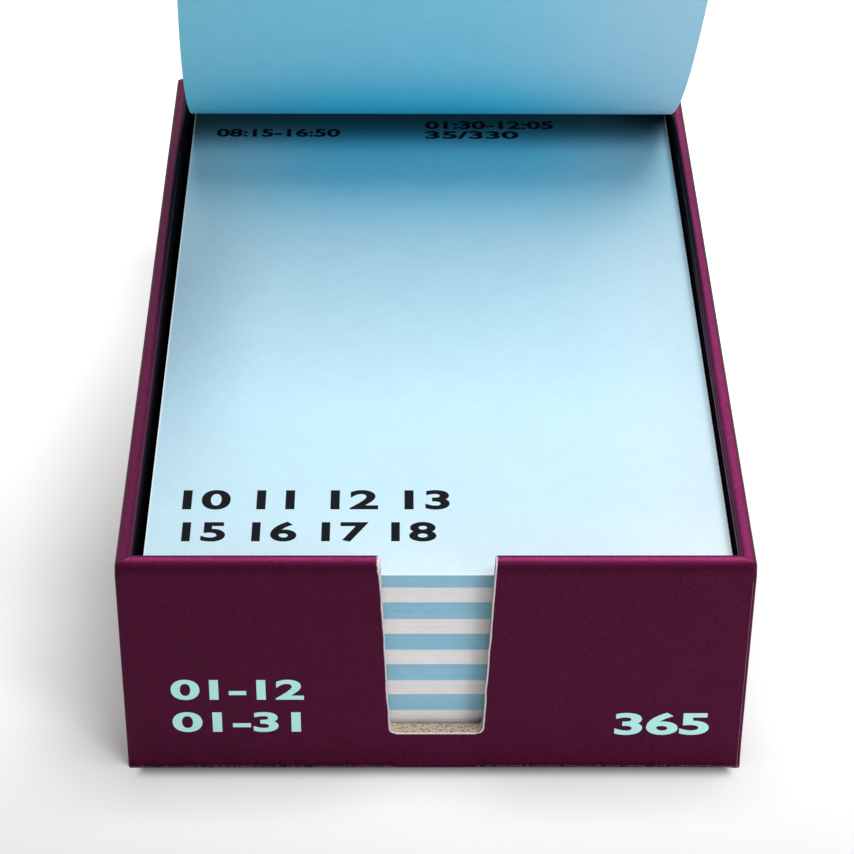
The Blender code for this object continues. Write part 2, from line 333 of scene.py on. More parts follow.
def paperMaterial(name, colour, grain, roughness=0.85, shine=0.5, bump=0.25, tones=None, shifts=()):
    material, tree, shader, place = startMaterial(name, roughness, shine)
    paper = grainOf(tree, place, grain)
    tone = paper["Tone"]
    if tones:  # each leaf has its own shade
        shade = spread(tree, trait(tree, "leafTone"), 0.0, 1.0, 1.0 - tones, 1.0 + tones)
        tone = maths(tree, "MULTIPLY", tone, shade)
    tint = finish[colour]
    for label, other in shifts:  # towards another colour where the trait is high
        tint = mixColour(tree, trait(tree, label), tint, finish[other])
    joinShader(tree, shader, tinted(tree, tint, tone), paper["Height"], bump)
    return material


plumSheet = {
    "rough": 0.45,
    "heights": (0.3, 0.7),       # from the hollows of the grain to its tops the sheet is rougher,
    "roughSpan": (0.05, 0.07),   # from this much below to this much above
    "shine": 0.14,
    "bump": (0.22, 0.03 * mm),
    "dust": {"Scale": 420.0, "Share": 0.03, "Size": 0.045},
    "dustShare": 0.25,
    "wear": {                    # by trait: scale of its patches, amount and tint
        "fold": (1500.0, 0.42, "plumScuff"),
        "lapEdge": (500.0, 0.7, "lapEdge"),
        "cut": (1900.0, 0.95, "rawPaper"),
    },
}


def plumMaterial(name, folded):  # dyed paper; the folded sheet has a painted highlight on the rim and painted shade at the foot, in the rim's rear inside and on the front's outer fold, and is worn at its edges
    rough = plumSheet["rough"]
    material, tree, shader, place = startMaterial(name, rough, plumSheet["shine"])
    shader.inputs["Specular Tint"].default_value = finish["plumShine"]
    paper = grainOf(tree, place, "plum")
    colour = finish["plum"]
    # painted highlight along the rim
    if folded:
        colour = mixColour(tree, trait(tree, "rim"), colour, finish["plumRimHighlight"])
    colour = tinted(tree, colour, paper["Tone"])
    # painted shade at the foot, in the rim's rear inside and on the front's outer fold; then wear
    if folded:
        colour = mixColour(tree, trait(tree, "inShade"), colour, finish["foldShade"])
        for label, (scale, amount, tint) in plumSheet["wear"].items():
            worn = placeGroup(tree, scuffGroup, Vector=place, Fold=trait(tree, label), Scale=scale,
                              Amount=amount)
            colour = mixColour(tree, worn["Mask"], colour, finish[tint])
    dust = placeGroup(tree, fleckGroup, Vector=place, **plumSheet["dust"])
    dusty = maths(tree, "MULTIPLY", dust["Mask"], plumSheet["dustShare"])
    colour = mixColour(tree, dusty, colour, finish["plumScuff"])
    below, above = plumSheet["roughSpan"]
    uneven = spread(tree, paper["Height"], *plumSheet["heights"], rough - below, rough + above)
    tree.links.new(uneven, shader.inputs["Roughness"])
    joinShader(tree, shader, colour, paper["Height"], *plumSheet["bump"])
    return material


pulpBoard = {
    "rough": 0.95,
    "shine": 0.2,
    "bump": (0.7, 0.12 * mm),
    "flecks": (                  # of old print and of fibre: pattern, strength and tint
        ({"Scale": 2300.0, "Share": 0.42, "Size": 0.66}, 0.75, "boardDark"),
        ({"Scale": 3000.0, "Share": 0.25, "Size": 0.55}, 0.7, "boardLight"),
    ),
}


def boardMaterial(name):  # grey pulp board, mottled and flecked
    material, tree, shader, place = startMaterial(name, pulpBoard["rough"], pulpBoard["shine"])
    pulp = grainOf(tree, place, "pulp")
    colour = tinted(tree, finish["board"], pulp["Tone"])
    for pattern, strength, tint in pulpBoard["flecks"]:
        fleck = placeGroup(tree, fleckGroup, Vector=place, **pattern)
        colour = mixColour(tree, maths(tree, "MULTIPLY", fleck["Mask"], strength), colour, finish[tint])
    joinShader(tree, shader, colour, pulp["Height"], *pulpBoard["bump"])
    return material


def filmMaterial(name, colour, grain, roughness, shine, bump=0.2, reach=0.03 * mm):  # print or glue on paper
    material, tree, shader, place = startMaterial(name, roughness, shine)
    film = grainOf(tree, place, grain)
    joinShader(tree, shader, tinted(tree, finish[colour], film["Tone"]), film["Height"], bump, reach)
    return material


plumPaper = plumMaterial("plumCoverPaper", True)
plumFlat = plumMaterial("plumBasePaper", False)
rawPaper = paperMaterial("rawCutPaper", "rawPaper", "raw")
blackPaper = paperMaterial("blackLiningPaper", "black", "lining", roughness=0.75, shine=0.0, bump=0.3)
# the lining's cut edge: pale where the trait is high, painted shade in black elsewhere
blackCut = paperMaterial("blackLiningCut", "black", "edge", shine=0.0, shifts=[("nearFront", "blackCut")])
greyBoard = boardMaterial("greyBoard")
kraftTape = paperMaterial("kraftTape", "tape", "tape", roughness=0.75)
# the page's blue, with painted shade under the lifted leaf and along the left, a painted shadow at the glued
# edge, and the pale cut edge together with painted light in front and to the right
bluePage = paperMaterial("bluePagePaper", "blue", "leaf", shine=0.25, shifts=[
    ("underLeafShade", "blueUnderShade"), ("glueShadow", "blueGlueShadow"), ("leftShade", "blueLeftShade"), ("cutEdgeAndPaintedLight", "blueCut")])
# the lifted leaf's back: a shaded copy of the page's blue, with painted shade near the root and painted
# light to the right
blueShadedBack = paperMaterial("blueShadedBackPaper", "blueShadedBack", "leaf", shine=0.25, shifts=[
    ("backLitRight", "blueBackLitRight"), ("backRootShade", "blueBackRootShade")])
blueCut = paperMaterial("blueCutEdge", "blueCut", "edge", roughness=0.9)
blueEdge = paperMaterial("blueLeafEdges", "blueEdge", "edge", roughness=0.9, bump=0.3, tones=0.04)
whiteEdge = paperMaterial("whiteLeafEdges", "whiteEdge", "edge", roughness=0.9, bump=0.3, tones=0.025)
paddingGlue = filmMaterial("paddingGlue", "glue", "glue", roughness=0.35, shine=0.5, bump=0.25,
                           reach=0.1 * mm)
mintInk = filmMaterial("mintPrint", "mint", "ink", roughness=0.6, shine=0.3)
blackInk = filmMaterial("blackPrint", "ink", "ink", roughness=0.8, shine=0.1)
print("materials made")


# Box walls: a profile of depth behind the wall's outside and height, carried round the box
coverLow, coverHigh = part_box("cover_paper")
liningLow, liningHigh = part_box("wall_lining")
boxTop = coverHigh.z
box = {
    "cornerRadius": 0.45 * mm,
    "rimCorner": 1.3 * mm,               # at the rim the front's upright corners are rounder,
    "rimCornerBelow": (0.5 * mm, 2.5 * mm),    # which fades between these distances below it
    "leastRadius": 0.15 * mm,
    "cornerSteps": 9,
    "frontSteps": 40,
    "sideSteps": 60,
    "closer": 2.2,                       # how much closer the steps are near a wall's ends
    "lapAt": 0.14 * mm,                  # the front and rear flaps end this far before the corners' rounds
    "lapWidth": 0.11 * mm,
    "lapStep": 0.08 * mm,
    "wave": 0.03 * mm,                   # the boards aren't quite flat
    "waves": ((61, 37, 83, 0.6), (-44, 52, -120, 2.1)),
}
notch = {
    "topWidth": 20.8 * mm,
    "floorWidth": 17.2 * mm,
    "floorHeight": 8.2 * mm,
    "cornerRadius": 1.1 * mm,
    "cornerSteps": 8,
    "shift": 0.3 * mm,
    "fray": 0.09 * mm,
    "fraySpan": 2,
    "frayEnds": 0.1,         # share of the floor at each end where its fray sets in
    "acrossSteps": 40,
}


def notchHalfWidth(height):  # slanted straight sides, drawn in by a quarter round at the floor
    radius = notch["cornerRadius"]
    rise = np.clip(height - notch["floorHeight"], 0, None)
    slant = (notch["topWidth"] - notch["floorWidth"]) / 2 / (boxTop - notch["floorHeight"])
    below = np.clip(radius - rise, 0, None)
    drawnIn = radius - np.sqrt(radius ** 2 - below ** 2)
    return notch["floorWidth"] / 2 + slant * rise - drawnIn


def notchRound():  # heights over the floor's corner round, closer at the floor
    return notch["cornerRadius"] * (1 - np.cos(np.linspace(0, np.pi / 2, notch["cornerSteps"])))


def boardWave(x, y, z):  # slow sines along the box
    return box["wave"] * swell(box["waves"], x, y, z)


def runSteps(count, length, marks=()):  # shares along a straight run, closer near both ends
    closer = box["closer"]
    even = np.tanh(np.linspace(-closer, closer, count)) / np.tanh(closer)
    return np.unique(np.concatenate([(even + 1) / 2, np.asarray(marks) / length]).round(6))


def wallStations():
    # once round the box from the notch: turn, place by half sizes, share of the front run, notch side, lap
    frontRun = coverHigh.x - notch["topWidth"] / 2
    lap = np.array([-1, 0, 1]) * box["lapWidth"] + box["lapAt"]
    rearRun = 2 * coverHigh.x
    front = runSteps(box["frontSteps"], frontRun, frontRun - lap)[:-1]
    rear = runSteps(box["sideSteps"], rearRun, np.concatenate([lap, rearRun - lap]))[1:-1]
    side = runSteps(box["sideSteps"], 2 * coverHigh.y)[1:-1]
    quarter = np.linspace(0, 90, box["cornerSteps"])
    rows = []

    def add(turn, x, y, share=0.0, notchSide=0, toEnd=-1.0):
        beyondLap = fade(toEnd, lap[0], lap[-1])
        columns = np.broadcast_arrays(turn, x, y, share, notchSide, beyondLap)
        rows.append(np.stack(columns, -1).astype(float))

    add(-90, 0, -1, front, 1, (1 - front) * frontRun)
    add(quarter - 90, 1, -1)
    add(0, 1, 2 * side - 1)
    add(quarter, 1, 1)
    add(90, 1 - 2 * rear, 1, toEnd=np.minimum(rear, 1 - rear) * rearRun)
    add(quarter + 90, -1, 1)
    add(180, -1, 1 - 2 * side)
    add(quarter + 180, -1, -1)
    add(-90, 0, -1, front[::-1], -1, (1 - front[::-1]) * frontRun)
    return np.concatenate(rows).T


wallTurn, wallX, wallY, wallShare, notchSide, beyondLap = wallStations()
wallTurn = np.radians(wallTurn)
facing = np.clip(-np.sin(wallTurn), 0, 1)       # 1 on the front, 0 on the other walls


def wrapWalls(depth, height, setback=0.0):
    # x and y are the half sizes less the depth, plus a quarter round at each corner;
    # on the front run x goes from the notch's edge, less the setback, to the corner
    z = height + np.zeros_like(facing)
    rounder = fade(boxTop - z, *box["rimCornerBelow"]) * (wallY < 0)
    corner = box["cornerRadius"] + rounder * (box["rimCorner"] - box["cornerRadius"])
    radius = np.maximum(corner - depth, box["leastRadius"])
    halfX = coverHigh.x - depth - radius
    halfY = coverHigh.y - depth - radius
    fray = notch["fray"] * np.stack([smoothChance(len(z), notch["fraySpan"]) for _ in range(2)], -1)
    frayed = np.where(notchSide > 0, fray[:, :1], fray[:, 1:])
    edgeX = notch["shift"] + notchSide * (notchHalfWidth(z + setback) + setback + frayed)
    run = edgeX + wallShare * (notchSide * halfX - edgeX)
    x = np.where(notchSide != 0, run, wallX * halfX + radius * np.cos(wallTurn))
    y = wallY * halfY + radius * np.sin(wallTurn)
    y = y * (1 - beyondLap * box["lapStep"] / coverHigh.y)
    out = boardWave(x, y, z)
    points = np.stack([x + out * np.cos(wallTurn), y + out * np.sin(wallTurn), z], -1)
    return points, np.where(notchSide != 0, np.abs(x - edgeX), 1.0)


def belowNotch(points, rows):  # fills the wall under the notch, between the two front runs
    left = points[:rows, -1]
    right = points[:rows, 0]
    share = np.linspace(0, 1, notch["acrossSteps"])
    under = left[:, None] + share[None, :, None] * (right - left)[:, None]
    inside = smoothStep(share, 0, notch["frayEnds"]) * smoothStep(1 - share, 0, notch["frayEnds"])
    under[-1, :, 2] += notch["fray"] * smoothChance(notch["acrossSteps"], notch["fraySpan"]) * inside
    return under


def joinGrids(first, second):  # points and faces of two grids as one mesh
    start = first.shape[0] * first.shape[1]
    points = np.concatenate([first.reshape(-1, 3), second.reshape(-1, 3)])
    return points, quads(*first.shape[:2]) + quads(*second.shape[:2], start=start)


def straight(start, end, count):  # points of a profile from start up to, but not including, end
    share = np.arange(count)[:, None] / count
    return np.array(start) + share * (np.array(end) - np.array(start))


def bend(centre, radius, first, last, count):  # the same along an arc, by its angles in degrees
    turn = np.radians(first + np.arange(count) / count * (last - first))
    return np.array(centre) + radius * np.stack([np.cos(turn), np.sin(turn)], -1)


coverFold = {
    "turnUnder": 14.0 * mm,
    "turnIn": 14.0 * mm,
    "paper": 0.2 * mm,
    "footRadius": 0.25 * mm,
    "footRows": 3,                       # close rows above the foot, up to as many radii
    "arcSteps": 8,
    "flatSteps": {"under": 3, "low": 8, "wall": 26, "top": 5, "inside": 5},
    "wornBand": (0.35 * mm, 0.15 * mm),  # rows below the notch's floor, for its worn edge
    # rim: radius of its outer and inner fold, rise over the box's top, depth of the turned-in face, the
    # depths in mm at which its painted highlight starts, is full, fades and ends, the painted highlight's
    # strength left and right, and how much narrower it is at the rear
    "front": {"radius": 1.35 * mm, "inner": 0.35 * mm, "rise": 0.25 * mm, "face": 3.05 * mm,
              "highlightDepths": (0.8, 1.75, 2.1, 2.6), "highlightSides": (0.68, 1.0), "narrows": 0.0},
    "others": {"radius": 0.9 * mm, "inner": 1.1 * mm, "rise": 0.0, "face": 2.75 * mm,
               "highlightDepths": (0.3, 1.0, 1.7, 2.6), "highlightSides": (0.15, 0.58), "narrows": 0.2 * mm},
    "narrowing": (-20 * mm, 60 * mm),
    "highlightBelow": 2.0 * mm,               # the painted highlight ends this far below the top
}
coverBend = {
    "earReach": 4.2 * mm,                # folded paper stands out and down at the bottom front corners
    "earLeft": 0.25 * mm,
    "earRight": 0.7 * mm,
    "drop": 0.28 * mm,                   # the front's lower edge comes down to the floor,
    "dropBehind": (0.4 * mm, 1.4 * mm),
    "dropHeight": (0.4 * mm, 6.0 * mm),
    "flare": 0.5 * mm,                   # and forward
    "flareDepth": (0, 3.0 * mm),
    "flareHeight": (0.3 * mm, 3.5 * mm),
    "mitre": 0.10 * mm,                  # crease where the turned-in paper meets at a rim corner
    "mitreWidth": 0.3 * mm,
    "mitreBelow": (0.35 * mm, 1.0 * mm),
}
# painted shade of the cover sheet, and its wear
coverTone = {
    "footShade": (0.6 * mm, 0.9 * mm),   # painted shadow of the crevice at the front's foot, dark up to these heights,
    "innerShade": (1.7 * mm, 2.15 * mm),       # painted shade inside the rim from these depths on,
    "innerShadeFrom": (-45 * mm, 30 * mm),     # which sets in along y towards the rear,
    "rimShade": 0.32,                    # and painted shade by this share on the front's outer fold, below the painted highlight
    "rimShadeBelow": (0.9 * mm, 1.4 * mm),
    "rimShadeDepth": (0.25 * mm, 0.9 * mm),
    "cornerWear": 0.6,
    "cornerWearWidth": 0.4 * mm,
    "cornerWearDepth": (0, 1.0 * mm),
    "footWear": (0.4 * mm, 1.1 * mm),
    "lapFades": (2.2 * mm, 3.5 * mm),    # the laps' edges fade out below the rim
    "cutWear": 0.42 * mm,                # raw edge round the notch, wider near the top on the left
    "cutWearMore": 1.2,
    "cutWearTop": 4.0 * mm,
    "cutWearUnder": 0.45 * mm,
}
hair = 0.01 * mm         # slack of a comparison
flatTurn = 0.99          # a wall whose turn has a sine above this is the front or the rear


def coverProfile(rim):
    # depth and height: in from under the base, round the foot, up the wall, over the rim and down inside
    foot = coverFold["footRadius"]
    inner = rim["inner"]
    arc = coverFold["arcSteps"]
    steps = coverFold["flatSteps"]
    bottom = coverLow.z
    footTop = bottom + coverFold["footRows"] * foot
    top = boxTop + rim["rise"]
    floor = notch["floorHeight"]
    wall = np.concatenate([floor - np.array(coverFold["wornBand"]), floor + notchRound()[:-1]])
    flat = rim["face"] - inner
    return np.concatenate([
        straight((coverFold["turnUnder"], bottom), (foot, bottom), steps["under"]),
        bend((foot, bottom + foot), foot, 270, 180, arc),
        straight((0, bottom + foot), (0, footTop), coverFold["footRows"]),
        straight((0, footTop), (0, wall[0]), steps["low"]),
        np.stack([np.zeros_like(wall), wall], -1),
        straight((0, floor + notch["cornerRadius"]), (0, top - rim["radius"]), steps["wall"]),
        bend((rim["radius"], top - rim["radius"]), rim["radius"], 180, 90, arc),
        straight((rim["radius"], top), (flat, top), steps["top"]),
        bend((flat, top - inner), inner, 90, 0, arc),
        straight((rim["face"], top - inner), (rim["face"], top - coverFold["turnIn"]), steps["inside"]),
        [(rim["face"], top - coverFold["turnIn"])]])


def rimHighlight(depth, x, y, rim):  # painted highlight on the rim, narrower towards the rear
    low, full, fades, ends = np.array(rim["highlightDepths"]) * mm
    inside = depth + rim["narrows"] * smoothStep(y, *coverFold["narrowing"])
    strength = np.interp(x, (coverLow.x, coverHigh.x), rim["highlightSides"])
    return strength * smoothStep(depth, low, full) * fade(inside, fades, ends)


def bendCover(points, depth, offDiagonal):  # moves the points at the foot and at the rim's corners
    x, y, z = np.moveaxis(points, -1, 0)
    fromCorner = np.abs(x) - coverHigh.x
    behindFront = y + coverHigh.y
    ear = np.exp(-(fromCorner ** 2 + behindFront ** 2 + 2 * z ** 2) / coverBend["earReach"] ** 2)
    flare = coverBend["flare"] * facing * fade(depth, *coverBend["flareDepth"])
    flare = flare * fade(z, *coverBend["flareHeight"])
    y -= np.maximum(np.where(x > 0, coverBend["earRight"], coverBend["earLeft"]) * ear, flare)
    drop = facing * fade(behindFront, *coverBend["dropBehind"]) * fade(z, *coverBend["dropHeight"])
    z -= np.maximum(z * ear, coverBend["drop"] * drop)
    onTop = fade(boxTop - z, *coverBend["mitreBelow"])
    z -= coverBend["mitre"] * onTop * np.exp(-(offDiagonal / coverBend["mitreWidth"]) ** 2)


def coverTraits(points, depth, offDiagonal, fromNotch):  # painted highlight and shade, and wear, as fades by depth and height
    x, y, z = np.moveaxis(points, -1, 0)
    belowTop = boxTop - z
    # painted highlight on the rim, stronger on the right and narrower at the rear
    bands = [rimHighlight(depth, x, y, coverFold[wall]) for wall in ("others", "front")]
    rim = (bands[0] + facing * (bands[1] - bands[0])) * (belowTop < coverFold["highlightBelow"])
    # painted shade at the foot, inside the rim towards the rear, and on the front's outer fold
    foot = facing * fade(z, *coverTone["footShade"])
    inner = smoothStep(depth, *coverTone["innerShade"]) * smoothStep(y, *coverTone["innerShadeFrom"])
    onFold = fade(belowTop, *coverTone["rimShadeBelow"]) * fade(depth, *coverTone["rimShadeDepth"])
    inShade = np.maximum(np.maximum(foot, inner), coverTone["rimShade"] * facing * onFold)
    corner = coverTone["cornerWear"] * np.exp(-(offDiagonal / coverTone["cornerWearWidth"]) ** 2)
    corner = corner * fade(depth, *coverTone["cornerWearDepth"])
    fold = np.maximum(corner, fade(z, *coverTone["footWear"]))
    lapped = (np.abs(np.sin(wallTurn)) > flatTurn) & ((x > 0) | (y > 0))
    lap = np.where(lapped, 4 * beyondLap * (1 - beyondLap), 0) * smoothStep(belowTop, *coverTone["lapFades"])
    wider = coverTone["cutWearMore"] * (notchSide < 0) * fade(belowTop, 0, coverTone["cutWearTop"])
    cut = fade(fromNotch, 0, coverTone["cutWear"] * (1 + wider)) * (z > notch["floorHeight"] - hair)
    return {"rim": rim, "inShade": inShade, "fold": fold, "lapEdge": lap, "cut": cut}


def makeCover():  # each wall's own profile, carried round the box, then bent at the foot and corners
    front = coverProfile(coverFold["front"])[:, :, None]
    others = coverProfile(coverFold["others"])[:, :, None]
    depth, height = np.moveaxis(others + facing * (front - others), 1, 0)
    points, fromNotch = wrapWalls(depth, height)
    offDiagonal = (np.abs(points[..., 0]) - coverHigh.x) - (np.abs(points[..., 1]) - coverHigh.y)
    bendCover(points, depth, offDiagonal)
    onWalls = coverTraits(points, depth, offDiagonal, fromNotch)
    floorRow = int(np.argmin(np.abs(height[:, 0] - notch["floorHeight"])))
    under = belowNotch(points, floorRow + 1)
    onUnder = {label: np.zeros(under.shape[:2]) for label in onWalls}
    onUnder["cut"] = fade(notch["floorHeight"] - under[..., 2], 0, coverTone["cutWearUnder"])
    traits = {label: np.concatenate([onWalls[label].ravel(), onUnder[label].ravel()]) for label in onWalls}
    mesh = newMesh("coverPaper", *joinGrids(points, under), traits)
    tidyMesh(mesh)
    return addPiece("coverPaper", mesh, [plumPaper, rawPaper], "box", ["cover_paper"],
                    thick=coverFold["paper"])


makeCover()

lining = {
    "paper": 0.2 * mm,
    "setback": 0.7 * mm,
    "lowSteps": 6,
    "highSteps": 24,
    "paleCut": (-40 * mm, 35 * mm),      # its cut edge is pale until the first y, and painted shade makes it black from the second,
    "paleLeft": 0.15,                    # with this much of the pale on the left, the rest painted shade
}


def makeLining():  # black paper inside, from below the rim to the base; it ends short of the notch
    depth = np.array([[coverHigh.x - liningHigh.x + lining["paper"]]])
    floor = notch["floorHeight"] - lining["setback"]
    height = np.concatenate([
        np.linspace(liningLow.z, floor, lining["lowSteps"]),
        floor + notchRound()[1:],
        np.linspace(floor + notch["cornerRadius"], liningHigh.z, lining["highSteps"])[1:]])
    points, _ = wrapWalls(depth, height[:, None], lining["setback"])
    points, faces = joinGrids(points, belowNotch(points, lining["lowSteps"]))
    # pale cut edge in front, with painted shade towards the rear and on the left
    nearFront = fade(points[..., 1], *lining["paleCut"])
    nearFront = nearFront * np.where(points[..., 0] < 0, lining["paleLeft"], 1)
    mesh = newMesh("wallLining", points, [face[::-1] for face in faces], {"nearFront": nearFront})
    tidyMesh(mesh)
    return addPiece("wallLining", mesh, [blackPaper, blackCut], "box", ["wall_lining"],
                    thick=lining["paper"])


makeLining()

cutBoard = {
    "frontDepth": 0.22 * mm,     # fills the wall between the papers
    "backDepth": 2.53 * mm,
    "backBelow": 2.83 * mm,      # below the turned-in paper
    "behind": 0.05 * mm,         # the cut lies a little behind the papers' edges
    "tear": 0.06 * mm,
    "across": 9,
    "sideSteps": 44,
    "step": (0.4 * mm, 0.8 * mm),    # it widens between these distances below that paper
    "topRadius": 1.2 * mm,       # its upper front edge is rubbed round under the paper
}


def makeFrontBoard():
    # the outline with its notch, carried across the board's thickness; the notch's cut is torn a little
    low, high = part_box("front_board")
    behind = cutBoard["behind"]
    outside = cutBoard["frontDepth"]
    radius = cutBoard["topRadius"]
    floor = notch["floorHeight"] - behind
    heights = np.concatenate([
        floor + notchRound(),
        np.linspace(floor + notch["cornerRadius"], high.z, cutBoard["sideSteps"])[1:]])
    half = notchHalfWidth(heights + behind) + behind
    right = np.stack([notch["shift"] + half, heights], -1)
    left = np.stack([notch["shift"] - half, heights], -1)
    across = np.linspace(left[0, 0], right[0, 0], notch["acrossSteps"])[1:-1]
    base = np.stack([across, np.full(len(across), floor)], -1)
    edge = np.concatenate([left[::-1], base, right])
    outer = np.array([[high.x, high.z], [high.x, low.z], [low.x, low.z], [low.x, high.z]])
    path = np.concatenate([edge, outer])
    share = np.linspace(0, 1, cutBoard["across"])
    turnInEnd = boxTop - coverFold["turnIn"]
    below = smoothStep(turnInEnd - path[:, 1], *cutBoard["step"])
    back = cutBoard["backDepth"] + below * (cutBoard["backBelow"] - cutBoard["backDepth"])
    depth = outside + share[:, None] * (back - outside)[None, :]
    points = np.stack(np.broadcast_arrays(path[:, 0], depth - coverHigh.y, path[:, 1]), -1)
    along = np.gradient(edge, axis=0)
    away = np.stack([along[:, 1], -along[:, 0]], -1) / np.linalg.norm(along, axis=1)[:, None]
    torn = cutBoard["tear"] * chance.uniform(0, 1, (cutBoard["across"], len(edge), 1))
    points[:, :len(edge), [0, 2]] += torn * away
    inRound = np.clip(radius + outside - depth, 0, radius)
    roundTop = high.z - radius + np.sqrt(radius ** 2 - inRound ** 2)
    points[..., 2] = np.minimum(points[..., 2], roundTop)
    rows, columns = depth.shape
    caps = [list(range(columns)), list(range((rows - 1) * columns, rows * columns))[::-1]]
    mesh = newMesh("frontBoard", points, ringQuads(rows, columns) + caps)
    tidyMesh(mesh, True)
    return addPiece("frontBoard", mesh, [greyBoard], "box", ["front_board"], sharp=25)


makeFrontBoard()


def dress(material, *nodes):  # a CAD node whose shape is right gets the better finish
    for name in nodes:
        slots = frame["nodes"][name].data.materials
        slots.clear()
        slots.append(material)


dress(greyBoard, "base_board", "rear_board", "left_board", "right_board", "backing_card")
corners = ("front_left", "front_right", "rear_left", "rear_right")
dress(kraftTape, *("corner_stay_" + corner for corner in corners))
dress(blackPaper, "base_lining")
dress(plumFlat, "base_sheet")
print("box made")

# Leaf block: each section is a stack of single leaves, a little out of line with each other
stack = {
    "leaf": 0.124 * mm,
    "drift": 0.09 * mm,      # slow drift of the stack's sides,
    "driftSpan": 8,          # over so many leaves
    "jog": 0.022 * mm,       # one leaf against the next
    "turnOut": 0.03 * mm,    # a leaf lies slightly askew
    "frontSteps": 16,
    "sideSteps": 10,
}


def makeSection(name, material):
    # each leaf is two rows of the outline, at its own setback in front, left and right;
    # the glued rear is flush
    low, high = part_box(name)
    count = round((high.z - low.z) / stack["leaf"])
    drift = np.stack([smoothChance(count, stack["driftSpan"]) for _ in range(3)])
    setback = -stack["drift"] * (1 + drift) / 2
    setback -= stack["jog"] * np.abs(chance.standard_normal((3, count)))
    askew = stack["turnOut"] * chance.standard_normal(count)
    front, left, right = np.repeat(setback, 2, axis=1)[:, :, None]
    skew = np.repeat(askew, 2)[:, None]
    tone = np.repeat(chance.uniform(0, 1, count), 2)
    level = np.linspace(low.z, high.z, count + 1)
    z = np.stack([level[:-1], level[1:]], -1).reshape(-1, 1)
    across = np.linspace(0, 1, stack["frontSteps"])
    along = np.linspace(0, 1, stack["sideSteps"])
    shareX = np.concatenate([across, np.ones(len(along) - 1), across[-2::-1], np.zeros(len(along) - 2)])
    shareY = np.concatenate([np.zeros(len(across)), along[1:], np.ones(len(across) - 1), along[-2:0:-1]])
    x = (low.x - left) + shareX * ((high.x + right) - (low.x - left))
    y = (low.y - front) + shareY * (high.y - (low.y - front))
    y = y + (1 - shareY) * skew * (shareX - 0.5)
    points = np.stack(np.broadcast_arrays(x, y, z), -1)
    rows, columns = x.shape
    caps = [list(range(columns))[::-1], list(range((rows - 1) * columns, rows * columns))]
    traits = {"leafTone": np.repeat(tone, columns)}
    mesh = newMesh(name + "_leaves", points, ringQuads(rows, columns) + caps, traits)
    return addPiece(name + "_leaves", mesh, [material], "block", [name], sharp=20)


for section in sorted(frame["nodes"]):
    if section.startswith("leaf_section"):
        blue = section.endswith("blue")
        makeSection(section, blueEdge if blue else whiteEdge)

glue = {
    "film": 0.36 * mm,
    "brush": 0.10 * mm,
    "steps": (90, 70),
    "fineSpan": 2,
    "fineShare": 0.6,        # of a streak, the rest is its swell
    "wander": 3.0,
    "wanderSpan": 9,
    "rates": (90, 300),      # radians of the swell per metre along x and z
}


def makeGlue():  # brushed film on the rear: streaks along x, swelling slowly
    low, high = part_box("binding_glue")
    rows, columns = glue["steps"]
    x = np.linspace(high.x, low.x, columns)[None, :]
    z = np.linspace(low.z, high.z, rows)[:, None]
    fine = smoothChance(rows, glue["fineSpan"])[:, None]
    wander = glue["wander"] * smoothChance(rows, glue["wanderSpan"])[:, None]
    alongX, alongZ = glue["rates"]
    slow = np.sin(alongX * x + alongZ * z + wander)
    streak = glue["fineShare"] * fine + (1 - glue["fineShare"]) * slow
    y = high.y - glue["brush"] * (1 - streak) / 2
    points = np.stack(np.broadcast_arrays(x, y, z), -1)
    mesh = newMesh("bindingGlue", points, quads(rows, columns))
    return addPiece("bindingGlue", mesh, [paddingGlue], "block", ["binding_glue"],
                    thick=glue["film"] - glue["brush"])


makeGlue()
print("leaf block made")

# Single leaves: the page that lies open, and the lifted one
page = {
    "leaf": 0.13 * mm,
    "wave": 0.025 * mm,
    "waves": ((95, 31, 0.0), (-40, 58, 1.3)),
    "steps": (70, 44),
    "cut": (0.12 * mm, 0.4 * mm),        # the cut edge shows pale, and fades between these distances
    "cutPale": 0.8,
    "under": (20 * mm, 72 * mm),         # painted shade: the page is deeper from y to y under the lifted leaf,
    "underAside": (18 * mm, 50 * mm),    # with less of that between these distances from the middle
    "underLess": 0.65,
    "glued": (64 * mm, 79 * mm),         # painted shadow, dark at the glued edge
    "gluedDark": 0.85,
    # painted light, paler in front: from y to y each share fades, and left and right have so much of it
    "frontPale": ((-95 * mm, -58 * mm, 0.5), (-50 * mm, -20 * mm, 0.12)),
    "frontSides": (0.3, 1.1),
    "rightPale": (25 * mm, 52 * mm),     # painted light, paler to the right,
    "rightShare": 0.2,
    "leftDim": (-2 * mm, 22 * mm),       # and painted shade, dimmer near the left edge, less so towards the front,
    "leftFrom": (-90 * mm, 0),
    "sidesEnd": (5 * mm, 55 * mm),       # until both end at the rear
}
pageLow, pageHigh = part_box("current_leaf")


def pageHeight(x, y):  # almost flat: slow sines below the top
    return pageHigh.z - page["wave"] * (1 - swell(page["waves"], x, y)) / 2


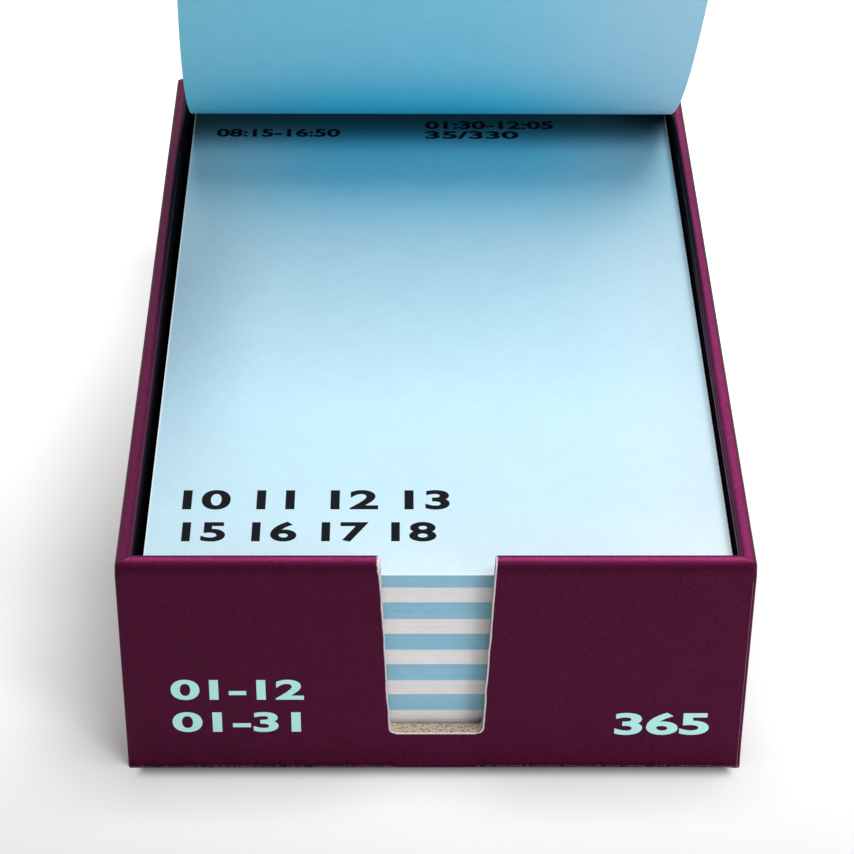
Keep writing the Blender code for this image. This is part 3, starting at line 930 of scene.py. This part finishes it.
def pageTraits(x, y):  # painted shade and light, and the pale cut edge, as fades along x and y
    toBorder = np.minimum(np.minimum(x - pageLow.x, pageHigh.x - x), y - pageLow.y)
    # painted shade under the lifted leaf, less towards the sides
    midst = 1 - page["underLess"] * smoothStep(np.abs(x), *page["underAside"])
    beforeEnd = fade(y, *page["sidesEnd"])
    # painted light, paler in front and to the right
    pale = sum(share * fade(y, low, high) for low, high, share in page["frontPale"])
    pale = pale * np.interp(x, (pageLow.x, pageHigh.x), page["frontSides"])
    pale = pale + page["rightShare"] * smoothStep(x, *page["rightPale"]) * beforeEnd
    # painted shade along the left edge
    dim = fade(x - pageLow.x, *page["leftDim"]) * smoothStep(y, *page["leftFrom"]) * beforeEnd
    return {"underLeafShade": midst * smoothStep(y, *page["under"]),
            "glueShadow": page["gluedDark"] * smoothStep(y, *page["glued"]),
            "leftShade": dim,
            "cutEdgeAndPaintedLight": np.maximum(page["cutPale"] * fade(toBorder, *page["cut"]), pale)}


def makePage():  # its height over a grid of x and y, with closer lines at the cut edges
    rows, columns = page["steps"]
    cut = np.array(page["cut"])
    across = [np.linspace(pageLow.x, pageHigh.x, columns), pageLow.x + cut, pageHigh.x - cut]
    along = [np.linspace(pageLow.y, pageHigh.y, rows), pageLow.y + cut]
    x, y = np.meshgrid(np.sort(np.concatenate(across)), np.sort(np.concatenate(along)))
    points = np.stack([x, y, pageHeight(x, y)], -1)
    mesh = newMesh("currentLeaf", points, quads(*x.shape), pageTraits(x, y))
    return addPiece("currentLeaf", mesh, [bluePage, blueCut], "current_leaf",
                    ["current_leaf"], thick=page["leaf"] - page["wave"])


makePage()

curl = {
    "rootTurn": 15.2,        # degrees of slope at the glued edge
    "endTurn": 85.0,
    "length": 66.0 * mm,     # the slope nears its end value by the same share in each such length
    "skew": 3.8,             # degrees, lifted askew to the right
    "sums": 1200,            # steps in which the slope is summed
    "leaf": 0.13 * mm,
    "wave": 0.25 * mm,
    "waves": ((70, 25, 0.4), (-38, 44, 0.0)),
    "waveFrom": (8 * mm, 60 * mm),       # the wave sets in along the leaf
    "steps": (180, 40),
    "root": (26 * mm, 62 * mm),          # painted shade: its back is deeper near the root,
    "rootLeft": (15 * mm, 55 * mm),      # with less of that on the left, by this share,
    "rootLeftLess": 0.45,
    "rootRight": (5 * mm, 55 * mm),      # and none on the right,
    "paleRight": (0, 50 * mm),           # where painted light makes it paler
}
leafHinge = next(joint for joint in frame["joints"] if joint["name"] == "lifted_leaf_turn")
leafLength = pageHigh.y - pageLow.y
leafMiddle = (pageLow.x + pageHigh.x) / 2
alongLeaf = np.linspace(0, leafLength, curl["sums"])
stillToTurn = (curl["endTurn"] - curl["rootTurn"]) * np.exp(-alongLeaf / curl["length"])
slope = np.radians(curl["endTurn"] - stillToTurn)
stepLeaf = alongLeaf[1]
forwardLeaf = np.concatenate([[0], np.cumsum(np.cos(slope[:-1])) * stepLeaf])
heightLeaf = np.concatenate([[0], np.cumsum(np.sin(slope[:-1])) * stepLeaf])


def onLeaf(across, along, lift=0.0):
    # a point by its distance across from the leaf's middle and along from its glued edge, lifted off the
    # side that faced up; the slope is summed along the leaf, and the skew draws it sideways
    forward = np.interp(along, alongLeaf, forwardLeaf)
    height = np.interp(along, alongLeaf, heightLeaf)
    turn = np.interp(along, alongLeaf, slope)
    sideways = math.sin(math.radians(curl["skew"])) * (along - forward)
    ripple = curl["wave"] * swell(curl["waves"], across, along)
    off = lift + ripple * smoothStep(along, *curl["waveFrom"])
    root = leafHinge["pos_m"]
    x = leafMiddle + across + sideways
    y = root[1] - forward + off * np.sin(turn)
    z = root[2] + height + off * np.cos(turn)
    return np.stack([x, y, z], -1)


def makeLiftedLeaf():  # onLeaf over a grid of distances across and along
    rows, columns = curl["steps"]
    half = (pageHigh.x - pageLow.x) / 2
    across, along = np.meshgrid(np.linspace(half, -half, columns), np.linspace(0, leafLength, rows))
    points = onLeaf(across, along, curl["leaf"])
    # painted shade on the back near the root, less on the left and none on the right, and painted light to
    # the right
    aside = curl["rootLeftLess"] * smoothStep(-across, *curl["rootLeft"])
    aside = aside + smoothStep(across, *curl["rootRight"])
    traits = {"backRootShade": (1 - aside) * fade(along, *curl["root"]),
              "backLitRight": smoothStep(across, *curl["paleRight"])}
    mesh = newMesh("liftedLeaf", points, quads(rows, columns), traits)
    return addPiece("liftedLeaf", mesh, [bluePage, blueShadedBack, blueCut], "lifted_leaf",
                    ["lifted_leaf"], thick=curl["leaf"])


makeLiftedLeaf()
print("leaves made")


# Print: plain numbers in a heavy wide face, as thin films on the surface
printFilm = {"weight": 0.03, "film": 0.03 * mm, "proud": 0.02 * mm}
frontPrint = {       # text, left, foot, height and width of each line
    "months": ("01-12", -48.7 * mm, 16.5 * mm, 4.9 * mm, 24.5 * mm),
    "days": ("01-31", -48.7 * mm, 8.6 * mm, 4.9 * mm, 23.8 * mm),
    "count": ("365", 33.5 * mm, 7.8 * mm, 5.5 * mm, 17.6 * mm),
}
pagePrint = {
    "morning": ("10 11 12 13", -47.0 * mm, -66.9 * mm, 6.0 * mm, 49.8 * mm),
    "afternoon": ("15 16 17 18", -46.6 * mm, -76.6 * mm, 6.0 * mm, 46.8 * mm),
    "sunHours": ("08:15-16:50", -47.8 * mm, 71.4 * mm, 3.6 * mm, 27.8 * mm),
    "moonHours": ("01:30-12:05", -0.7 * mm, 75.0 * mm, 3.6 * mm, 29.0 * mm),
    "dayCount": ("35/330", -0.7 * mm, 70.6 * mm, 3.4 * mm, 21.0 * mm),
}


def numerals(text, height, width):  # flat outline with its lower left at 0, 0
    curve = bpy.data.curves.new("numerals", "FONT")
    curve.body = text
    curve.offset = printFilm["weight"]
    holder = addObject("numerals", curve)
    mesh = bakedMesh(holder)
    bpy.data.objects.remove(holder)
    flat = np.zeros(3 * len(mesh.vertices))
    mesh.vertices.foreach_get("co", flat)
    flat = flat.reshape(-1, 3)[:, :2]
    flat -= flat.min(0)
    faces = [list(face.vertices) for face in mesh.polygons]
    return flat / flat.max(0) * (width, height), faces


def addPrint(name, lines, place, ink, body):
    points = []
    faces = []
    for text, left, foot, height, width in lines.values():
        flat, parts = numerals(text, height, width)
        start = sum(len(part) for part in points)
        faces += [[start + corner for corner in part] for part in parts]
        points.append(place(flat[:, 0] + left, flat[:, 1] + foot))
    mesh = newMesh(name, np.concatenate(points), faces)
    tidyMesh(mesh)
    return addPiece(name, mesh, [ink], body, thick=printFilm["film"], folded=False)


def onFront(x, z):
    return np.stack([x, -coverHigh.y - boardWave(x, -coverHigh.y, z) - printFilm["proud"], z], -1)


def onPage(x, y):
    return np.stack([x, y, pageHeight(x, y) + printFilm["proud"]], -1)


def onLifted(x, y):
    return onLeaf(x - leafMiddle, pageHigh.y - y, curl["leaf"] + printFilm["proud"])


addPrint("frontNumbers", frontPrint, onFront, mintInk, "box")
addPrint("pageNumbers", pagePrint, onPage, blackInk, "current_leaf")
addPrint("liftedPageNumbers", pagePrint, onLifted, blackInk, "lifted_leaf")
print("print made")

# Studio: pale floor, a wide soft light above, and two softboxes in front on the right, high and low
studio = {
    "floorSize": 6.0,
    "floor": (0.95, 0.95, 0.955, 1),
    "floorSteps": 3,
    # seen by the camera only: a glow from y to y, that goes from this to this strength, beside the box
    # and behind it, and by distance all round, so the floor keeps its shadow
    "floorBeside": (-0.12, -0.07, 0.0, 0.19),
    "floorBehind": (-0.10, 0.08, 0.0, 0.60),
    "floorFar": (0.28, 0.70, 0.0, 0.60),
    # shade of the floor in front: how far it looks for the box, how open its darkest and its bright places
    # are, its tone there, the y where it ends, and the distance from the middle
    "contact": {"reach": 6 * mm, "open": (0.55, 0.90), "dark": 0.25, "until": (-0.0915, -0.0885),
                "aside": (0.050, 0.058)},
    "ambient": 0.06,
    "backdrop": 0.95,
    "key": {"place": (0.09, -0.035, 0.63), "size": (0.40, 0.32), "power": 2.85},
    "front": {"place": (0.30, -0.55, 0.82), "size": (0.4, 0.2), "power": 2.0},
    "side": {"place": (0.33, -0.40, 0.14), "size": (0.25, 0.12), "power": 0.62},
}


def seenPath(tree):  # 1 for what the camera sees, directly, mirrored or through glass
    path = addNode(tree, "ShaderNodeLightPath").outputs
    mirrored = maths(tree, "MAXIMUM", path["Is Glossy Ray"], path["Is Transmission Ray"])
    return maths(tree, "MAXIMUM", path["Is Camera Ray"], mirrored)


def makeFloor():
    half = studio["floorSize"] / 2
    steps = studio["floorSteps"]
    line = np.linspace(-half, half, steps)
    x, y = np.meshgrid(line, line)
    mesh = newMesh("paleFloor", np.stack([x, y, np.zeros_like(x)], -1), quads(steps, steps))
    material, tree, shader, place = startMaterial("paleFloor", roughness=0.9, shine=0.1)
    soft = grainOf(tree, place, "floor")
    across, along, _ = addNode(tree, "ShaderNodeSeparateXYZ", {0: place}).outputs
    contact = studio["contact"]
    near = addNode(tree, "ShaderNodeAmbientOcclusion", {"Distance": contact["reach"]}).outputs["AO"]
    near = maths(tree, "MAXIMUM", near, spread(tree, along, *contact["until"]))
    aside = maths(tree, "ABSOLUTE", across)
    openAbove = maths(tree, "MAXIMUM", near, spread(tree, aside, *contact["aside"]))
    shade = spread(tree, openAbove, *contact["open"], contact["dark"], 1.0)
    joinShader(tree, shader, tinted(tree, studio["floor"], maths(tree, "MULTIPLY", soft["Tone"], shade)))
    away = addNode(tree, "ShaderNodeVectorMath", {0: place}, operation="LENGTH").outputs["Value"]
    glow = spread(tree, along, *studio["floorBeside"])
    glow = maths(tree, "MAXIMUM", glow, spread(tree, along, *studio["floorBehind"]))
    glow = maths(tree, "MAXIMUM", glow, spread(tree, away, *studio["floorFar"]))
    glow = maths(tree, "MULTIPLY", maths(tree, "MULTIPLY", glow, shade), seenPath(tree))
    shader.inputs["Emission Color"].default_value = (1, 1, 1, 1)
    tree.links.new(glow, shader.inputs["Emission Strength"])
    mesh.materials.append(material)
    floor = addObject("paleFloor", mesh)


def addLamp(name, lamp, target=(0, 0, 0.03)):
    data = bpy.data.lights.new(name, "AREA")
    data.shape = "RECTANGLE"
    data.size, data.size_y = lamp["size"]
    data.energy = lamp["power"]
    made = addObject(name, data)
    back = (Vector(lamp["place"]) - Vector(target)).normalized()
    side = (Vector((1, 0, 0)) - back.x * back).normalized()      # the lamp's long side lies along x
    turn = Matrix((side, back.cross(side), back)).transposed().to_4x4()
    made.matrix_world = Matrix.Translation(lamp["place"]) @ turn


def makeWorld():  # dim for the light it gives, pale where it is seen or mirrored
    world = bpy.data.worlds.new("studioWorld")
    bpy.context.scene.world = world
    world.use_nodes = True
    tree = world.node_tree
    strength = spread(tree, seenPath(tree), 0.0, 1.0, studio["ambient"], studio["backdrop"])
    tree.nodes["Background"].inputs["Color"].default_value = (1, 1, 1, 1)
    tree.links.new(strength, tree.nodes["Background"].inputs["Strength"])


makeFloor()
makeWorld()
for lampName in ("key", "front", "side"):
    addLamp(lampName, studio[lampName])
bpy.context.scene.view_settings.view_transform = "Standard"
print("studio set")
